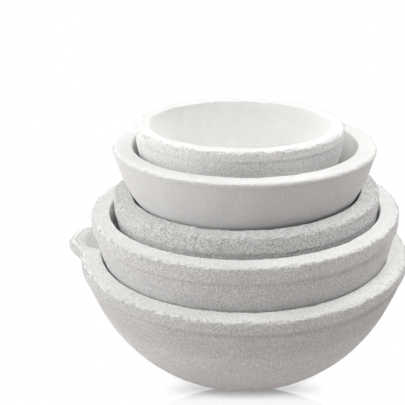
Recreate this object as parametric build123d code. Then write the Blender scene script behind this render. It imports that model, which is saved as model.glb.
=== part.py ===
from build123d import *

# Nest of five round melting dishes in unglazed fired ceramic, each standing loosely in the next
# larger one.  Millimetres, +Z up.  The origin is the centre of the largest dish's flat foot, so
# z = 0 is the surface that the nest stands on.  The pouring spout points along -X.

import os
from dataclasses import dataclass
from math import asin, cos, degrees, radians, sin


@dataclass
class Dish:
    """Driving dimensions of one dish and its place in the nest."""

    name: str
    rim_radius: float     # outer edge of the flat rim
    height: float         # foot to rim
    collar_height: float  # upright band below the rim
    collar_step: float    # how far the wall steps in below that band
    wall_lean: float      # degrees from upright where the wall leaves the collar
    wall_arc: float       # radius of the outer wall's arc
    wall: float           # wall thickness, and so the width of the rim
    floor: float          # thickness of the floor over the foot
    rim_level: float      # rim centre above the surface under the nest
    shift: float          # rim centre off the nest's axis, along +X
    tilt: float           # degrees, +X side down


# Rim levels are above the foot of the largest dish.
DISHES = [
    Dish("largest_dish", 50.0, 39.0, 4.2, 0.6, 12.8, 52.7, 6.0, 6.0, 39.0, 0.0, 0.0),
    Dish("fourth_dish", 46.4, 37.0, 5.0, 0.8, 6.0, 40.0, 5.2, 6.0, 52.3, 0.2, -0.6),
    Dish("third_dish", 39.9, 36.2, 5.0, 0.3, 3.0, 37.0, 5.2, 6.0, 57.7, 0.6, -0.9),
    Dish("second_dish", 38.7, 30.2, 1.5, 0.3, 10.3, 40.8, 5.3, 5.5, 71.8, 0.2, 0.3),
    Dish("smallest_dish", 30.8, 30.0, 3.0, 0.3, 1.0, 30.0, 3.9, 5.0, 77.5, -1.2, 0.7),
]

RIM_ROUNDING = 0.8       # both edges of every rim
FOOT_ROUNDING = 1.5
FLOOR_BLEND = 8.0        # inside radius where the wall runs into the floor

# Pouring spout of the largest dish, as seen from above: a blunt lip on a wide root.
LIP_REACH = 54.6         # axis to the tip of the lip
LIP_CORNER = 3.0         # radius of the lip's two corners
LIP_HALF_FLAT = 2.8      # half the straight front edge between the corners
ROOT_REACH = 46.0
ROOT_HALF_WIDTH = 13.0
ROOT_CORNER = 1.2
SPOUT_DEPTH = 9.0        # height of the spout, from the rim to where it dies into the wall
HEEL_REACH = 47.3        # the same outline at the bottom of the spout
HEEL_CORNER = 1.5
HEEL_HALF_FLAT = 2.0
HEEL_ROOT_REACH = 43.7
HEEL_HALF_WIDTH = 5.0
HEEL_ROOT_CORNER = 1.0
SCOOP_RADIUS = 9.0       # ball-shaped pouring channel cut through the rim
SCOOP_REACH = 42.0       # axis of the nest to the ball's centre
SCOOP_RISE = 4.0         # ball's centre above the rim


def half_section(dish):
    """Half of the dish's upright section, from the axis outwards."""
    shoulder_r = dish.rim_radius - dish.collar_step
    shoulder_z = dish.height - dish.collar_height
    centre_r = shoulder_r - dish.wall_arc * cos(radians(dish.wall_lean))
    centre_z = shoulder_z + dish.wall_arc * sin(radians(dish.wall_lean))

    def wall_curve(radius, low_z, high_z):
        """Arc about the wall's centre, climbing from one level to another."""
        start, end = (degrees(asin((z - centre_z) / radius)) for z in (low_z, high_z))
        return CenterArc((centre_r, centre_z), radius, start, end - start)

    with BuildSketch(Plane.XZ) as section:
        with BuildLine():
            outside = wall_curve(dish.wall_arc, 0, shoulder_z)
            inside = wall_curve(dish.wall_arc - dish.wall, dish.floor, dish.height)
            collar_foot = (dish.rim_radius, shoulder_z + dish.collar_step)
            rim_edge = (dish.rim_radius, dish.height)
            Polyline(outside @ 1, collar_foot, rim_edge, inside @ 1)
            Polyline(inside @ 0, (0, dish.floor), (0, 0), outside @ 0)
        make_face()
        roundings = [
            (rim_edge, RIM_ROUNDING),
            (inside @ 1, RIM_ROUNDING),
            (inside @ 0, FLOOR_BLEND),
            (outside @ 0, FOOT_ROUNDING),
        ]
        for corner, radius in roundings:
            fillet(section.vertices().sort_by_distance(corner)[0], radius)
    return section.sketch


def spout_outline(level, reach, corner, half_flat, root_reach, half_width, root_corner):
    """Outline of the spout at one level: the hull of its four rounded corners."""
    circles = [Pos(corner - reach, y) * Circle(corner) for y in (half_flat, -half_flat)]
    circles += [Pos(-root_reach, y) * Circle(root_corner) for y in (half_width, -half_width)]
    return Plane.XY.offset(level) * make_hull([circle.edge() for circle in circles])


def add_spout(body, dish):
    """Join the pouring lip to the wall and scoop its channel out of the rim."""
    lip = spout_outline(
        dish.height, LIP_REACH, LIP_CORNER, LIP_HALF_FLAT, ROOT_REACH, ROOT_HALF_WIDTH, ROOT_CORNER
    )
    heel = spout_outline(
        dish.height - SPOUT_DEPTH, HEEL_REACH, HEEL_CORNER, HEEL_HALF_FLAT,
        HEEL_ROOT_REACH, HEEL_HALF_WIDTH, HEEL_ROOT_CORNER,
    )
    scoop = Pos(-SCOOP_REACH, 0, dish.height + SCOOP_RISE) * Sphere(SCOOP_RADIUS)
    return body + loft([heel, lip]) - scoop


def place_in_nest(body, dish):
    """Tilt the dish about its rim's centre and set that centre at its place."""
    to_rim = Pos(0, 0, -dish.height)
    return Pos(dish.shift, 0, dish.rim_level) * Rotation(0, dish.tilt, 0) * to_rim * body


os.makedirs("parts", exist_ok=True)
for dish in DISHES:
    body = revolve(half_section(dish), Axis.Z)
    if dish.name == "largest_dish":
        body = add_spout(body, dish)
    export_step(place_in_nest(body, dish), f"parts/{dish.name}.step")
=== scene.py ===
# Looks for a nest of five unglazed ceramic dishes. Each CAD dish is replaced by a finer mesh
# of the same size, with ragged rim edges, grit and pits, which rides on that dish's own body.
# Shapes are worked out in millimetres in each dish's own frame, foot centre at the origin,
# and go to metres in the row frame when the mesh is made.

from dataclasses import dataclass
from itertools import product
from math import asin, cos, pi, radians, sin

import bpy
import numpy as np
from mathutils import Matrix, Vector


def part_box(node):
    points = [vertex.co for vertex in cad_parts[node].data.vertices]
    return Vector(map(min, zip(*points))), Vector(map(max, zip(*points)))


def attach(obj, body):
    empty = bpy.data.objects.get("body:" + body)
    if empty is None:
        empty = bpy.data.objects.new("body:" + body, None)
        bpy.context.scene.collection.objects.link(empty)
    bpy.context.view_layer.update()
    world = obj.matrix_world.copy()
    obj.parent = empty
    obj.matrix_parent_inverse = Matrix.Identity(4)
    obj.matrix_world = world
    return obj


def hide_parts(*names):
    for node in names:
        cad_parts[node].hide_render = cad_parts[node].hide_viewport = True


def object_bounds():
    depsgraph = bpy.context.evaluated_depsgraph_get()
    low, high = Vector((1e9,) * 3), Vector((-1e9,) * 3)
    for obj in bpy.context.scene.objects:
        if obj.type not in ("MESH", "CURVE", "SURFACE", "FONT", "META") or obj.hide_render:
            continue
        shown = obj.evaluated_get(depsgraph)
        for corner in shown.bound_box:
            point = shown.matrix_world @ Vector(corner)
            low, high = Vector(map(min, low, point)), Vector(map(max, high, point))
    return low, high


MM = 0.001
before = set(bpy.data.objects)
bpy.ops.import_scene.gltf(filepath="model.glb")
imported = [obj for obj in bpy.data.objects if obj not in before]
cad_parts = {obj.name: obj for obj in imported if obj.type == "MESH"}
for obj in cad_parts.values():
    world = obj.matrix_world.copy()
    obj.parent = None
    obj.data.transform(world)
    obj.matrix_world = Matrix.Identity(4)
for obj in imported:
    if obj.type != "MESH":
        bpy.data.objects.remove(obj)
cad_low, cad_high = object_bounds()


# ---------------------------------------------------------------- dimensions

@dataclass
class Dish:
    """A dish's driving dimensions in millimetres, as in the CAD, and how rough it is.

    Only the fourth dish's wall differs: it is 0.3 mm thinner here.
    """

    name: str
    height: float
    collar_height: float  # of the upright band below the rim
    collar_step: float    # how far the band stands out from the wall
    wall_lean: float      # degrees that the wall leans out where it meets the collar
    wall_arc: float       # radius of the wall's curve, outside
    wall: float
    floor: float
    tilt: float           # degrees, +X side down
    groove: float         # how deep the wall is pressed in just under the collar
    grit: float           # outer wall, 0 smooth to 1 coarse and sandy
    rim_grit: float       # the same for the flat of the rim
    rag: float            # how ragged the rim's outer edge is, 1 = usual
    tone: float           # how pale the outer wall is, as a share of white
    rim_tone: float       # the same for the rim and the inside; its step from the wall's tone is painted light and shade: rims paler as if lit from above, and the smallest dish's wall paler than its inside
    seed: int
    rim_radius: float = 0.0      # this and the next two are read from the CAD dish's box
    rim_level: float = 0.0
    shift: float = 0.0           # along X


DISHES = [
    Dish(
        "largest_dish",
        height=39.0,
        collar_height=4.2,
        collar_step=0.6,
        wall_lean=12.8,
        wall_arc=52.7,
        wall=6.0,
        floor=6.0,
        tilt=0.0,
        groove=0.32,
        grit=0.5,
        rim_grit=0.45,
        rag=1.0,
        tone=0.74,
        rim_tone=0.95,
        seed=11,
    ),
    Dish(
        "fourth_dish",
        height=37.0,
        collar_height=5.0,
        collar_step=0.8,
        wall_lean=6.0,
        wall_arc=40.0,
        wall=4.9,
        floor=6.0,
        tilt=-0.6,
        groove=0.1,
        grit=0.5,
        rim_grit=0.3,
        rag=0.9,
        tone=0.775,
        rim_tone=0.9,
        seed=23,
    ),
    Dish(
        "third_dish",
        height=36.2,
        collar_height=5.0,
        collar_step=0.3,
        wall_lean=3.0,
        wall_arc=37.0,
        wall=5.2,
        floor=6.0,
        tilt=-0.9,
        groove=0.0,
        grit=1.0,
        rim_grit=0.9,
        rag=0.9,
        tone=0.88,
        rim_tone=0.9,
        seed=37,
    ),
    Dish(
        "second_dish",
        height=30.2,
        collar_height=1.5,
        collar_step=0.3,
        wall_lean=10.3,
        wall_arc=40.8,
        wall=5.3,
        floor=5.5,
        tilt=0.3,
        groove=0.0,
        grit=0.2,
        rim_grit=0.08,
        rag=0.4,
        tone=0.765,
        rim_tone=0.88,
        seed=41,
    ),
    Dish(
        "smallest_dish",
        height=30.0,
        collar_height=3.0,
        collar_step=0.3,
        wall_lean=1.0,
        wall_arc=30.0,
        wall=3.9,
        floor=5.0,
        tilt=0.7,
        groove=0.0,
        grit=0.5,
        rim_grit=0.16,
        rag=0.9,
        tone=0.97,
        rim_tone=0.87,
        seed=59,
    ),
]
LOWER_WALL = (9.0, 17.0)   # painted light: the outer wall turns paler between these depths below the rim, as if lit by the rim below
LOWER_WALL_PAINTED_LIGHT = 0.45     # how far this painted light goes towards the rim's tone
WALL_FLATTER = 0.28        # the largest dish's wall is this much flatter than an arc, halfway down
INSIDE_GRIT = 0.06         # every bowl was pressed smooth inside

SPOUT_BULGE = 5.2          # how far the lip stands out from the rim
SPOUT_TIP_ANGLE = 3.0      # degrees either side of -X where the lip is full
SPOUT_ROOT_ANGLE = 14.5    # degrees either side of -X where it has died away
SPOUT_DEPTH = 9.0          # how far down from the rim its underside reaches
SPOUT_EDGE = 2.4           # upright edge of the lip before its underside slopes in
SCOOP_RADIUS = 9.0         # the channel is pressed in by a ball of this radius
SCOOP_REACH = 42.8         # distance of its centre from the dish's axis
SCOOP_RISE = 4.0           # and its height above the rim
SCOOP_SOFTNESS = 1.8       # how gently the channel runs out into the rim
SCOOP_MARGIN = 2.0         # how far outside the ball the clay still moves with it


def read_place(dish):
    """Take the rim's radius, level and shift from the CAD dish's box."""
    low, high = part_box(dish.name)
    dish.rim_radius = (high.y - low.y) / 2 / MM
    dish.rim_level = high.z / MM - dish.rim_radius * sin(radians(abs(dish.tilt)))
    if dish.name != "largest_dish":
        dish.shift = (high.x + low.x) / 2 / MM


# -------------------------------------------------------------------- noise

HASH_STEPS = (73856093, 19349663, 83492791)   # large odd numbers, to scatter X, Y and Z
HASH_SEED = 2654435761
HASH_MIX = 1274126177
HASH_MASK = 0xFFFF


def lattice_noise(points, cell_size, seed):
    """Smooth random values from -1 to 1, one lattice point per cell_size millimetres."""
    q = points / cell_size
    cell = np.floor(q).astype(np.int64)
    f = q - cell
    f = f * f * f * (f * (f * 6 - 15) + 10)
    total = np.zeros(len(points))
    for corner in product((0, 1), repeat=3):
        x, y, z = ((cell + np.array(corner)) * HASH_STEPS).T
        h = x ^ y ^ z ^ (seed * HASH_SEED)
        h = (h ^ (h >> 13)) * HASH_MIX
        h = (h ^ (h >> 16)) & HASH_MASK
        weight = np.prod(np.where(np.array(corner) == 1, f, 1 - f), axis=1)
        total += weight * (h / (HASH_MASK / 2) - 1)
    return total


def octaves(points, cell_size, seed, count):
    """Sum of noises, each half the size and half the strength of the one before."""
    return sum(lattice_noise(points, cell_size / 2**i, seed + i) / 2**i for i in range(count))


def smooth_step(x, low, high):
    """From 0 at low to 1 at high, easing in and out."""
    t = np.clip((x - low) / (high - low), 0, 1)
    return t * t * (3 - 2 * t)


def hump(x, centre, width):
    """A bell from 0 to 1 and back round the centre."""
    return np.exp(-(((x - centre) / width) ** 2))


# ------------------------------------------------------------------ profile

BEVEL_WIDTH = 0.9          # the rim's outer edge has crumbled away to a small bevel
BEVEL_DROP = 0.4
SAMPLE = 0.1               # spacing of the dense outline
MARGIN = 150               # samples mirrored past each end, so that the axis ends stay flat
ARC_POINTS = 80
SPREAD = 0.22              # how widely the outline is smoothed everywhere
MORE_SPREAD = {            # corner: how much wider it is smoothed there, and over what length
    "inner_edge": (0.08, 1.5),
    "foot": (0.7, 4),
    "floor": (2.8, 9),
}


def sharp_outline(dish):
    """Corner-to-corner outline of the half section, from the foot's centre to the floor's centre."""
    shoulder_r = dish.rim_radius - dish.collar_step
    shoulder_z = dish.height - dish.collar_height
    centre_r = shoulder_r - dish.wall_arc * cos(radians(dish.wall_lean))
    centre_z = shoulder_z + dish.wall_arc * sin(radians(dish.wall_lean))

    def wall_curve(radius, from_z, to_z):
        start, end = (asin((z - centre_z) / radius) for z in (from_z, to_z))
        angles = np.linspace(start, end, ARC_POINTS)
        return [(centre_r + radius * cos(a), centre_z + radius * sin(a)) for a in angles]

    outside = wall_curve(dish.wall_arc, 0, shoulder_z)
    inside = wall_curve(dish.wall_arc - dish.wall, dish.height, dish.floor)
    bevel_z = dish.height - BEVEL_DROP
    bevel_r = dish.rim_radius - BEVEL_WIDTH
    collar = [(dish.rim_radius, shoulder_z + dish.collar_step), (dish.rim_radius, bevel_z)]
    rim_outside = (bevel_r, dish.height)
    corners = {
        "foot": outside[0],
        "shoulder": outside[-1],
        "outer_edge": ((dish.rim_radius + bevel_r) / 2, (dish.height + bevel_z) / 2),
        "inner_edge": inside[0],
        "floor": inside[-1],
    }
    return np.array([(0, 0)] + outside + collar + [rim_outside] + inside + [(0, dish.floor)]), corners


def soft_outline(dish):
    """The outline with its corners rounded: distances along it, points, and each corner's distance."""
    sharp, corners = sharp_outline(dish)
    along = np.concatenate([[0], np.cumsum(np.hypot(*np.diff(sharp, axis=0).T))])
    s = np.arange(0, along[-1], SAMPLE)
    dense = np.stack([np.interp(s, along, sharp[:, i]) for i in (0, 1)], axis=1)
    place = {key: s[np.argmin(np.hypot(*(dense - corner).T))] for key, corner in corners.items()}

    mirror = np.array([-1, 1])
    wide = np.concatenate([dense[1:MARGIN][::-1] * mirror, dense, dense[-MARGIN:-1][::-1] * mirror])
    wide_s = np.concatenate([-s[1:MARGIN][::-1], s, 2 * s[-1] - s[-MARGIN:-1][::-1]])
    spread = np.full(len(s), SPREAD)
    for corner, (more, length) in MORE_SPREAD.items():
        spread += more * hump(s, place[corner], length)
    weights = np.exp(-(((s[:, None] - wide_s[None, :]) / spread[:, None]) ** 2) / 2)
    soft = weights @ wide / weights.sum(axis=1, keepdims=True)
    return s, soft, place


# --------------------------------------------------------------------- mesh

FINE_STEP = 0.33           # vertex spacing round the rim
RING_SPACING = [           # how far past the outer edge along the outline, and the rings' spacing
    (-44.0, 1.2),
    (-10.0, 0.8),
    (-6.5, 0.55),
    (-3.0, 0.3),
    (-1.5, 0.25),
    (1.2, 0.18),
    (8.5, 0.35),
    (20.0, 0.8),
]
FLOOR_SPACING = 1.2
LAST_GAP = 1.5             # rings are added until one is this many spacings from the floor's centre
FULL_RING = (-3.2, 7.5)    # the stretch with full rings; beyond it they have half the vertices
QUARTER_RING = 9.0         # inside the bowl past this, they have a quarter
FOOT_RING = 14             # and so do the foot's rings within this radius
COUNT_STEP = 8             # a full ring's count divides by this


def ring_distances(length, outer_edge):
    """Where the rings of vertices lie along the outline: close at the rim, wide at the floor."""
    places = [FLOOR_SPACING]
    while places[-1] < length - LAST_GAP * FLOOR_SPACING:
        past = places[-1] - outer_edge
        step = next((spacing for limit, spacing in RING_SPACING if past < limit), FLOOR_SPACING)
        places.append(places[-1] + step)
    return np.array(places)


def ring_counts(dish, radii, past):
    """Vertices in each ring."""
    full = int(round(2 * pi * dish.rim_radius / FINE_STEP / COUNT_STEP)) * COUNT_STEP
    low, high = FULL_RING
    counts = np.where(past < low, full // 2, full)
    counts[past > high] = full // 2
    counts[past > QUARTER_RING] = full // 4
    counts[(radii < FOOT_RING) & (past < 0)] = full // 4
    return counts


def join_rings(a, na, b, nb, faces):
    """Faces between a ring of na vertices starting at a and the next of nb starting at b."""
    if na == nb:
        for j in range(na):
            k = (j + 1) % na
            faces.append((a + j, a + k, b + k, b + j))
    elif nb == 2 * na:
        for j in range(na):
            k = (j + 1) % na
            faces.append((a + j, a + k, b + (2 * j + 2) % nb, b + 2 * j + 1, b + 2 * j))
    else:
        for j in range(nb):
            k = (j + 1) % nb
            faces.append((a + 2 * j, a + 2 * j + 1, a + (2 * j + 2) % na, b + k, b + j))


def from_spout(points):
    """Degrees round the dish from the -X side, where the spout is."""
    return np.abs(np.degrees(np.arctan2(points[:, 1], -points[:, 0])))


def add_spout(points, dish):
    """Pull the rim out into a lip on the -X side and press the pouring channel into it."""
    r = np.hypot(points[:, 0], points[:, 1])
    angle = from_spout(points)
    rim_inner = dish.rim_radius - dish.wall
    share = np.clip((r - rim_inner) / dish.wall, 0, 1)
    depth = dish.height - points[:, 2]
    fade = np.clip(1 - (depth - SPOUT_EDGE) / (SPOUT_DEPTH - SPOUT_EDGE), 0, 1)
    bulge = SPOUT_BULGE * (1 - smooth_step(angle, SPOUT_TIP_ANGLE, SPOUT_ROOT_ANGLE))
    scale = 1 + bulge * share * fade / np.maximum(r, 1)
    points[:, 0] *= scale
    points[:, 1] *= scale
    ball = np.array([-SCOOP_REACH, 0, dish.height + SCOOP_RISE])
    away = points - ball
    q = np.linalg.norm(away, axis=1)
    gap = q - SCOOP_RADIUS
    pushed = (q + SCOOP_RADIUS + np.sqrt(gap**2 + SCOOP_SOFTNESS**2)) / 2
    near = (gap < SCOOP_MARGIN) & (points[:, 0] < 0)
    points[near] = ball + away[near] * (pushed / q)[near, None]


# Stretches along the outline, in millimetres past an edge, over which one finish turns to the next.
ONTO_RIM = (-0.4, 0.6)     # past the outer edge, the wall's grit turns to the rim's
INTO_BOWL = (-0.5, 1.5)    # past the inner edge, the rim's grit turns to the bowl's
PALE_RIM = (-0.5, 0.3)     # past the outer edge, the wall's tone turns to the rim's painted light and shade

# Roughness in the mesh: how deep, how large, and between which noise values it sets in.
SWELL, SWELL_SIZE = 0.10, 22
RIPPLE, RIPPLE_SIZE = 0.05, 6
GROOVE_DROP, GROOVE_WIDTH = 0.5, 1.0   # the groove's place below the shoulder
FLATTER_DROP, FLATTER_WIDTH = 13, 8    # the flatter stretch's place below the outer edge
GRAIN_SMOOTH, GRAIN_GRITTY = 0.008, 0.045   # depth on smooth clay, and what full grit adds
GRAIN_SIZE = 1.2
PIT_DEPTH, PIT_SIZE, PIT_CUT = 0.14, 0.9, (0.40, 0.75)
OUTER_WIDTH, INNER_WIDTH = 0.75, 0.7   # how wide the rim's ragged edges are
CRUMB, INNER_CRUMB, CRUMB_SIZE = 0.42, 0.05, 0.95
NICK, NICK_SIZE, NICK_CUT = 0.22, 2.4, (0.10, 0.75)
CHIP, CHIP_SIZE, CHIP_CUT = 0.18, 3.0, (0.35, 0.9)
SPOUT_RAG = 0.25           # share of the raggedness left at the spout's tip
SPOUT_CALM = 4             # degrees past the spout's root where it is whole again
WEAR_LEVEL, WEAR_CRUMBS = 0.45, 0.8    # wear and painted highlight at the outer edge, and how much the crumbs change it
INNER_WEAR = 0.3           # wear and painted highlight at the inner edge


def roughness_along(dish, s, place):
    """How gritty each vertex is: the outer wall, then the rim's flat, then the smooth inside."""
    onto_rim = smooth_step(s - place["outer_edge"], *ONTO_RIM)
    inwards = smooth_step(s - place["inner_edge"], *INTO_BOWL)
    grit = dish.grit + (dish.rim_grit - dish.grit) * onto_rim
    return grit + (INSIDE_GRIT - grit) * inwards


def roughen(points, normals, s, place, grit, dish):
    """Move the vertices along their normals: uneven body, groove, grit, pits, ragged rim edges.

    Each noise draws from the dish's seed plus a number of its own. Returns how worn each vertex
    is, from 0 to 1, which also places the painted highlights on the crumbs.
    """
    seed = dish.seed
    body = SWELL * lattice_noise(points, SWELL_SIZE, seed)
    body += RIPPLE * octaves(points, RIPPLE_SIZE, seed + 3, 2)
    groove = -dish.groove * hump(s, place["shoulder"] - GROOVE_DROP, GROOVE_WIDTH)
    if dish.name == "largest_dish":
        body -= WALL_FLATTER * hump(s, place["outer_edge"] - FLATTER_DROP, FLATTER_WIDTH)
    grain = (GRAIN_SMOOTH + GRAIN_GRITTY * grit) * octaves(points, GRAIN_SIZE, seed + 7, 2)
    pits = smooth_step(lattice_noise(points, PIT_SIZE, seed + 13), *PIT_CUT)
    pits = -PIT_DEPTH * grit**2 * pits

    outer = hump(s, place["outer_edge"], OUTER_WIDTH)
    crumbs = octaves(points, CRUMB_SIZE, seed + 19, 2)
    nicks = smooth_step(lattice_noise(points, NICK_SIZE, seed + 17), *NICK_CUT)
    ragged = dish.rag * outer * (CRUMB * crumbs - NICK * nicks)
    inner = hump(s, place["inner_edge"], INNER_WIDTH)
    chips = smooth_step(lattice_noise(points, CHIP_SIZE, seed + 29), *CHIP_CUT)
    ragged += dish.rag * inner * (INNER_CRUMB * crumbs - CHIP * chips)

    if dish.name == "largest_dish":
        away = smooth_step(from_spout(points), SPOUT_TIP_ANGLE, SPOUT_ROOT_ANGLE + SPOUT_CALM)
        ragged *= away * (1 - SPOUT_RAG) + SPOUT_RAG

    points += normals * (body + groove + grain + pits + ragged)[:, None]
    wear_and_highlight = outer * np.clip(WEAR_LEVEL + WEAR_CRUMBS * crumbs, 0, 1) * min(1, dish.rag)
    return np.clip(wear_and_highlight + INNER_WEAR * inner, 0, 1)


def turned_points(dish):
    """The dish's vertices, normals, distances along the outline, faces and corners."""
    dense_s, soft, place = soft_outline(dish)
    distances = ring_distances(dense_s[-1], place["outer_edge"])
    outline = np.stack([np.interp(distances, dense_s, soft[:, i]) for i in (0, 1)], axis=1)
    slope = np.gradient(soft, axis=0)
    tangent = np.stack([np.interp(distances, dense_s, slope[:, i]) for i in (0, 1)], axis=1)
    tangent /= np.linalg.norm(tangent, axis=1, keepdims=True)
    counts = ring_counts(dish, outline[:, 0], distances - place["outer_edge"])

    points, normals, along, starts = [[0, 0, soft[0, 1]]], [[0, 0, -1]], [0], []
    for (r, z), (tr, tz), s, n in zip(outline, tangent, distances, counts):
        starts.append(len(points))
        turn = np.arange(n) * 2 * pi / n
        c, d = np.cos(turn), np.sin(turn)
        points += np.stack([r * c, r * d, np.full(n, z)], axis=1).tolist()
        normals += np.stack([tz * c, tz * d, np.full(n, -tr)], axis=1).tolist()
        along += [s] * n
    points.append([0, 0, soft[-1, 1]])
    normals.append([0, 0, 1])
    along.append(dense_s[-1])

    faces = [(0, starts[0] + (j + 1) % counts[0], starts[0] + j) for j in range(counts[0])]
    for i in range(len(starts) - 1):
        join_rings(starts[i], counts[i], starts[i + 1], counts[i + 1], faces)
    last, n = starts[-1], counts[-1]
    faces += [(last + j, last + (j + 1) % n, len(points) - 1) for j in range(n)]
    return np.array(points), np.array(normals), np.array(along), faces, place


def build_dish(dish):
    """The dish as a closed mesh in the row frame, riding on its own body."""
    read_place(dish)
    points, normals, s, faces, place = turned_points(dish)
    if dish.name == "largest_dish":
        add_spout(points, dish)
    grit = roughness_along(dish, s, place)
    wear_and_highlight = roughen(points, normals, s, place, grit, dish)
    points[:, 2] = np.maximum(points[:, 2], 0)

    to_row = (
        Matrix.Translation((dish.shift * MM, 0, dish.rim_level * MM))
        @ Matrix.Rotation(radians(dish.tilt), 4, "Y")
        @ Matrix.Translation((0, 0, -dish.height * MM))
    )
    turn, move = np.array(to_row.to_3x3()), np.array(to_row.translation)
    mesh = bpy.data.meshes.new(dish.name + "_fired")
    mesh.from_pydata((points * MM @ turn.T + move).tolist(), [], faces)
    # painted light and shade: pale is 1 on the rim and inside, and part of the way up on the lower
    # wall, as if lit by the rim below
    pale = smooth_step(s - place["outer_edge"], *PALE_RIM)
    pale += LOWER_WALL_PAINTED_LIGHT * smooth_step(place["outer_edge"] - s, *LOWER_WALL)
    for key, values in (("wear_and_highlight", wear_and_highlight), ("grit", grit), ("pale", pale)):
        mesh.attributes.new(key, "FLOAT", "POINT").data.foreach_set("value", values.astype(np.float32))
    mesh.polygons.foreach_set("use_smooth", [True] * len(mesh.polygons))
    mesh.update()
    piece = bpy.data.objects.new(dish.name + "_fired", mesh)
    bpy.context.scene.collection.objects.link(piece)
    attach(piece, dish.name)
    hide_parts(dish.name)
    return piece


# ---------------------------------------------------------------- materials

class Nodes:
    """Small helper that adds nodes to one tree and links them."""

    def __init__(self, tree):
        self.tree = tree
        tree.nodes.clear()

    def add(self, kind, links=None, **settings):
        """Add a node; settings are its sockets' values or its own properties."""
        node = self.tree.nodes.new(kind)
        for key, value in settings.items():
            if key in node.inputs:
                node.inputs[key].default_value = value
            else:
                setattr(node, key, value)
        for key, socket in (links or {}).items():
            self.tree.links.new(socket, node.inputs[key])
        return node

    def noise(self, coords, scale, detail, roughness):
        """Noise with so many features per metre."""
        settings = {"Scale": scale, "Detail": detail, "Roughness": roughness}
        return self.add("ShaderNodeTexNoise", {"Vector": coords}, **settings).outputs["Fac"]

    def span(self, value, low, high, to_low=0.0, to_high=1.0):
        """Ease from to_low to to_high as the value goes from low to high."""
        node = self.add("ShaderNodeMapRange", {"Value": value}, interpolation_type="SMOOTHSTEP")
        node.inputs["From Min"].default_value = low
        node.inputs["From Max"].default_value = high
        node.inputs["To Min"].default_value = to_low
        node.inputs["To Max"].default_value = to_high
        return node.outputs["Result"]

    def math(self, operation, a, b=0.0):
        """One sum on two values, each a number or a socket."""
        node = self.add("ShaderNodeMath", operation=operation)
        for i, value in enumerate((a, b)):
            if isinstance(value, (int, float)):
                node.inputs[i].default_value = value
            else:
                self.tree.links.new(value, node.inputs[i])
        return node.outputs[0]

    def blend(self, amount, a, b):
        """Mix two colours, each a tuple or a socket."""
        node = self.add("ShaderNodeMix", data_type="RGBA")
        self.tree.links.new(amount, node.inputs["Factor"])
        for key, value in (("A", a), ("B", b)):
            socket = [i for i in node.inputs if i.name == key and i.type == "RGBA"][0]
            if isinstance(value, tuple):
                socket.default_value = (*value, 1)
            else:
                self.tree.links.new(value, socket)
        return [o for o in node.outputs if o.type == "RGBA"][0]

    def attribute(self, name):
        """A value stored at each of the mesh's vertices."""
        return self.add("ShaderNodeAttribute", attribute_name=name).outputs["Fac"]


CLAY = (1.0, 0.998, 0.99)  # colour of the clay at full brightness
WHITEST = 0.985            # no part of it is brighter than this

# Noises as features per metre, detail and roughness, and the values between which each sets in.
MOTTLE_NOISE, MOTTLE_CUT = (70, 4, 0.6), (0.32, 0.68)
SAND_NOISE, SAND_CUT = (2500, 2, 0.7), (0.36, 0.64)
FINE_NOISE = (4200, 2, 0.6)
PORE_NOISE, PORE_CUT = (1150, 2, 0.6), (0.62, 0.72)
SPECK_NOISE, SPECK_CUT = (2100, 2, 0.6), (0.40, 0.58)

MOTTLE = (0.97, 1.02)      # brightness of the broad patches
SAND_GRAINS = (0.66, 1.22)           # brightness of the darkest and palest sand grains
SAND_FULL_GRIT = 0.85      # the grit at which the grains show in full
SAND_SHARE = (0.10, 1.0)   # how much of the grains shows on smooth and on gritty clay
PORE_SHADE = 0.3        # how much painted shade darkens a pore on fully gritty clay
SPECK_HIGHLIGHTS = (-0.02, 0.24)     # painted highlights added to worn edges, between the specks and on them
RELIEF_SHARE = (0.12, 1.0)           # how much of the bump shows on smooth and on gritty clay
RELIEF_FINE = 0.6          # the fine noise's part in the bump, against the sand's 1
RELIEF_WEAR = 0.5          # how much wear adds to the bump
RELIEF_PORE = 0.5          # how far the pores dip in it
BUMP_DEPTH = 0.00045       # metres
ROUGHNESS = (0.82, 0.96)   # of the shader, from dark grains to pale ones
SPECULAR = 0.25
DIFFUSE_ROUGHNESS = 0.7


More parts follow.
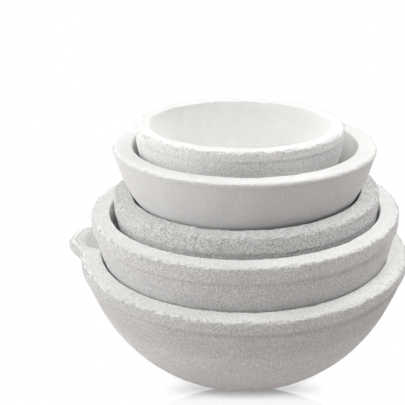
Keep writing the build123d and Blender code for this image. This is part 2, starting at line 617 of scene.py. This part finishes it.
def ceramic(name, tone, rim_tone):
    """Unglazed fired ceramic, chalky pale grey, mottled and sandy, with painted shade in pin holes and
    painted highlights on worn edges.
    """
    material = bpy.data.materials.new(name)
    material.use_nodes = True
    n = Nodes(material.node_tree)
    coords = n.add("ShaderNodeTexCoord").outputs["Object"]
    wear_and_highlight = n.attribute("wear_and_highlight")
    grit = n.attribute("grit")
    pale = n.attribute("pale")

    mottle = n.span(n.noise(coords, *MOTTLE_NOISE), *MOTTLE_CUT, *MOTTLE)
    sand = n.noise(coords, *SAND_NOISE)
    fine = n.noise(coords, *FINE_NOISE)
    grains = n.span(sand, *SAND_CUT, *SAND_GRAINS)
    share = n.span(grit, 0, SAND_FULL_GRIT, *SAND_SHARE)
    pores = n.span(n.noise(coords, *PORE_NOISE), *PORE_CUT)
    holes = n.math("MULTIPLY", pores, grit)
    speck_highlights = n.span(n.noise(coords, *SPECK_NOISE), *SPECK_CUT, *SPECK_HIGHLIGHTS)

    # painted light and shade: where pale rises, the wall's tone gives way to the rim's, so rims look
    # lit from above and the lower wall looks lit by the rim below
    bright = n.math("MULTIPLY", n.span(pale, 0, 1, tone, rim_tone), mottle)
    grained = n.math("ADD", n.math("MULTIPLY", n.math("SUBTRACT", grains, 1), share), 1)
    bright = n.math("MULTIPLY", bright, grained)
    # painted shade in the pin holes
    shaded = n.math("SUBTRACT", 1, n.math("MULTIPLY", holes, PORE_SHADE))
    bright = n.math("MULTIPLY", bright, shaded)
    # painted highlights on the worn, crumbled rim edges
    bright = n.math("ADD", bright, n.math("MULTIPLY", wear_and_highlight, speck_highlights))
    colour = n.blend(n.math("MINIMUM", bright, WHITEST), (0, 0, 0), CLAY)

    relief = n.math("ADD", n.math("MULTIPLY", fine, RELIEF_FINE), sand)
    coarser = n.math("MULTIPLY", wear_and_highlight, RELIEF_WEAR)
    relief = n.math("MULTIPLY", relief, n.math("ADD", n.span(grit, 0, 1, *RELIEF_SHARE), coarser))
    relief = n.math("SUBTRACT", relief, n.math("MULTIPLY", holes, RELIEF_PORE))
    bump = n.add("ShaderNodeBump", {"Height": relief}, Strength=1.0, Distance=BUMP_DEPTH)
    shader = n.add(
        "ShaderNodeBsdfPrincipled",
        {
            "Base Color": colour,
            "Normal": bump.outputs["Normal"],
            "Roughness": n.span(sand, *SAND_CUT, *ROUGHNESS),
        },
    )
    shader.inputs["Specular IOR Level"].default_value = SPECULAR
    shader.inputs["Diffuse Roughness"].default_value = DIFFUSE_ROUGHNESS
    n.add("ShaderNodeOutputMaterial", {"Surface": shader.outputs["BSDF"]})
    return material


# -------------------------------------------------------------------- stage

# The stage, the lamps and the camera are in metres.

FLOOR_HALF = 3.0
FLOOR_DROP = 0.00005       # the floor lies this far under the foot
REFLECTION = (0.58, 0.07)  # share of mirror reflection at the foot, and where it has faded
REFLECTION_REACH = (0.022, 0.0295)   # distances of those two in front of the axis
REFLECTION_END = (0.030, 0.037)      # the last of it dies away here
REFLECTION_START = (0.0208, 0.0216)  # the reflection begins here, in the middle
REFLECTION_CURVE = 16.8    # and this much further forward, times the distance to the side squared
MIRROR_ROUGHNESS = 0.02
CONTACT_REACH = 0.003      # how far out the painted shade round the foot spreads
CONTACT_CUT = (0.3, 0.9)   # shares of open sky between which the painted shade fades out
CONTACT_GLOW = (0.85, 1.0)           # brightness of the floor's glow in the painted shade and clear of it
CONTACT_SAMPLES = 16
SHADOW_FRONT = 0.0226      # the painted soft shadow lies this far in front of the axis
SHADOW_DEPTH = 0.0045      # how far it spreads forwards and backwards
SHADOW_SIDES = (0.015, 0.026)        # where it starts to fade to the sides, and where it has gone
SHADOW = 0.27              # how dark its middle is
FLOOR_BOUNCE = (0.84, 0.795, 0.79)   # colour of the light the floor throws back up


def white_floor():
    """A plain white floor with a faint reflection close to the foot, a thin soft shadow painted in
    front and painted shade round the foot.

    Both are laid out for the main camera's direction, and the floor is turned to it.
    """
    material = bpy.data.materials.new("floor_white")
    material.use_nodes = True
    n = Nodes(material.node_tree)
    coords = n.add("ShaderNodeTexCoord").outputs["Object"]
    across, forward, _ = n.add("ShaderNodeSeparateXYZ", {"Vector": coords}).outputs
    front = n.math("MULTIPLY", forward, -1)
    curve = n.math("MULTIPLY", n.math("MULTIPLY", across, across), REFLECTION_CURVE)
    near = n.span(front, *REFLECTION_REACH, *REFLECTION)
    near = n.math("MULTIPLY", near, n.span(front, *REFLECTION_END, 1.0, 0.0))
    near = n.math("MULTIPLY", near, n.span(n.math("SUBTRACT", front, curve), *REFLECTION_START))
    open_sky = n.add(
        "ShaderNodeAmbientOcclusion", Distance=CONTACT_REACH, samples=CONTACT_SAMPLES
    ).outputs["AO"]
    # a painted soft shadow band in the floor's glow
    from_band = n.math("ABSOLUTE", n.math("SUBTRACT", front, SHADOW_FRONT))
    band = n.span(from_band, 0, SHADOW_DEPTH, SHADOW, 0.0)
    sideways = n.math("ABSOLUTE", across)
    band = n.math("MULTIPLY", band, n.span(sideways, *SHADOW_SIDES, 1.0, 0.0))
    # painted shade round the foot, from how much open sky each point sees
    contact = n.span(open_sky, *CONTACT_CUT, *CONTACT_GLOW)
    glow = n.math("MULTIPLY", n.math("SUBTRACT", 1, band), contact)
    white = n.add("ShaderNodeEmission", {"Strength": glow}, Color=(1, 1, 1, 1))
    mirror = n.add("ShaderNodeBsdfGlossy", Color=(1, 1, 1, 1), Roughness=MIRROR_ROUGHNESS)
    seen = n.add("ShaderNodeMixShader")
    n.tree.links.new(near, seen.inputs[0])
    n.tree.links.new(white.outputs[0], seen.inputs[1])
    n.tree.links.new(mirror.outputs[0], seen.inputs[2])
    bounce = n.add("ShaderNodeBsdfDiffuse", Color=(*FLOOR_BOUNCE, 1))
    camera_ray = n.add("ShaderNodeLightPath").outputs["Is Camera Ray"]
    mix = n.add("ShaderNodeMixShader")
    n.tree.links.new(camera_ray, mix.inputs[0])
    n.tree.links.new(bounce.outputs["BSDF"], mix.inputs[1])
    n.tree.links.new(seen.outputs[0], mix.inputs[2])
    n.add("ShaderNodeOutputMaterial", {"Surface": mix.outputs[0]})
    mesh = bpy.data.meshes.new("floor")
    h = FLOOR_HALF
    mesh.from_pydata([(-h, -h, 0), (h, -h, 0), (h, h, 0), (-h, h, 0)], [], [(0, 1, 2, 3)])
    mesh.materials.append(material)
    floor = bpy.data.objects.new("floor", mesh)
    bpy.context.scene.collection.objects.link(floor)
    floor.location.z = cad_low.z - FLOOR_DROP
    floor.rotation_euler.z = radians(CAMERA_TURN)


FILL = 0.01                # brightness of the studio all round
FILL_SLOPE = (0.0, -0.02, 0.0)       # brighter to the front
FILL_COLOUR = (1.0, 0.94, 0.93)


def white_world():
    """White where the camera sees past the floor, and a gentle fill for everything else."""
    world = bpy.data.worlds.new("studio")
    bpy.context.scene.world = world
    world.use_nodes = True
    n = Nodes(world.node_tree)
    direction = n.add("ShaderNodeTexCoord").outputs["Generated"]
    slope = n.add("ShaderNodeVectorMath", {0: direction}, operation="DOT_PRODUCT")
    slope.inputs[1].default_value = FILL_SLOPE
    strength = n.math("MAXIMUM", n.math("ADD", slope.outputs["Value"], FILL), 0.0)
    fill = n.add("ShaderNodeBackground", {"Strength": strength}, Color=(*FILL_COLOUR, 1))
    white = n.add("ShaderNodeBackground", Color=(1, 1, 1, 1), Strength=1.0)
    ray = n.add("ShaderNodeLightPath").outputs
    mix = n.add("ShaderNodeMixShader")
    n.tree.links.new(n.math("MAXIMUM", ray["Is Camera Ray"], ray["Is Glossy Ray"]), mix.inputs[0])
    n.tree.links.new(fill.outputs[0], mix.inputs[1])
    n.tree.links.new(white.outputs[0], mix.inputs[2])
    n.add("ShaderNodeOutputWorld", {"Surface": mix.outputs[0]})


NEUTRAL = (1.0, 0.998, 0.99)
ROSY = (1.04, 0.99, 0.985)
LAMPS = {                  # name: place, size, power, colour
    "back_left": ((-0.30, 0.30, 0.40), 0.30, 1.00, NEUTRAL),
    "back_right": ((0.30, 0.30, 0.40), 0.30, 2.15, NEUTRAL),
    "left_low": ((-0.50, -0.10, 0.12), 0.25, 1.15, NEUTRAL),
    "left_near": ((-0.20, -0.05, 0.17), 0.10, 0.10, NEUTRAL),
    "front_high": ((0.0, -0.30, 0.50), 0.30, 0.75, NEUTRAL),
    "front_near": ((-0.13, -0.20, 0.20), 0.10, 0.115, NEUTRAL),
    "top_near": ((0.05, -0.05, 0.26), 0.12, 0.044, NEUTRAL),
    "right_low": ((0.50, -0.10, 0.12), 0.25, 0.16, ROSY),
    "right_high": ((0.15, -0.12, 0.24), 0.10, 0.02, ROSY),
    "right_top": ((0.13, -0.03, 0.20), 0.08, 0.065, NEUTRAL),
}
LAMP_AIM = Vector((0, 0, 0.045))


def soft_boxes():
    """Square area lights turned to the middle of the nest, out of the camera's sight."""
    for name, (place, size, power, colour) in LAMPS.items():
        light = bpy.data.lights.new(name, "AREA")
        light.size = size
        light.energy = power
        light.color = colour
        lamp = bpy.data.objects.new(name, light)
        bpy.context.scene.collection.objects.link(lamp)
        lamp.visible_camera = False
        lamp.location = place
        lamp.rotation_euler = (LAMP_AIM - Vector(place)).to_track_quat("-Z", "Y").to_euler()


# ------------------------------------------------------------------- camera

CAMERA_BACK = 0.2062       # in front of the nest's axis
CAMERA_RISE = 0.0928       # above the largest dish's rim
CAMERA_TURN = 5.0          # degrees round the nest towards +X, so that the spout points a little away
CAMERA_PITCH = 21.15       # degrees down
CAMERA_LENS = 64.0         # millimetres
CAMERA_SENSOR = 36.0       # millimetres across
CAMERA_SHIFT = -0.1028     # the nest stands right of the picture's middle
CAMERA_NEAR = 0.01


def make_camera(rim_height):
    """The camera at the photograph's angle, measured from the largest dish's rim."""
    data = bpy.data.cameras.new("camera")
    data.lens = CAMERA_LENS
    data.sensor_width = CAMERA_SENSOR
    data.shift_x = CAMERA_SHIFT
    data.clip_start = CAMERA_NEAR
    camera = bpy.data.objects.new("camera", data)
    bpy.context.scene.collection.objects.link(camera)
    turn = radians(CAMERA_TURN)
    camera.location = (CAMERA_BACK * sin(turn), -CAMERA_BACK * cos(turn), rim_height + CAMERA_RISE)
    camera.rotation_euler = (radians(90 - CAMERA_PITCH), 0, turn)
    bpy.context.scene.camera = camera


# ------------------------------------------------------------------ the nest

for dish in DISHES:
    piece = build_dish(dish)
    piece.data.materials.append(ceramic(dish.name + "_ceramic", dish.tone, dish.rim_tone))

make_camera(DISHES[0].rim_level * MM)
white_floor()
white_world()
soft_boxes()
bpy.context.scene.view_settings.view_transform = "Standard"
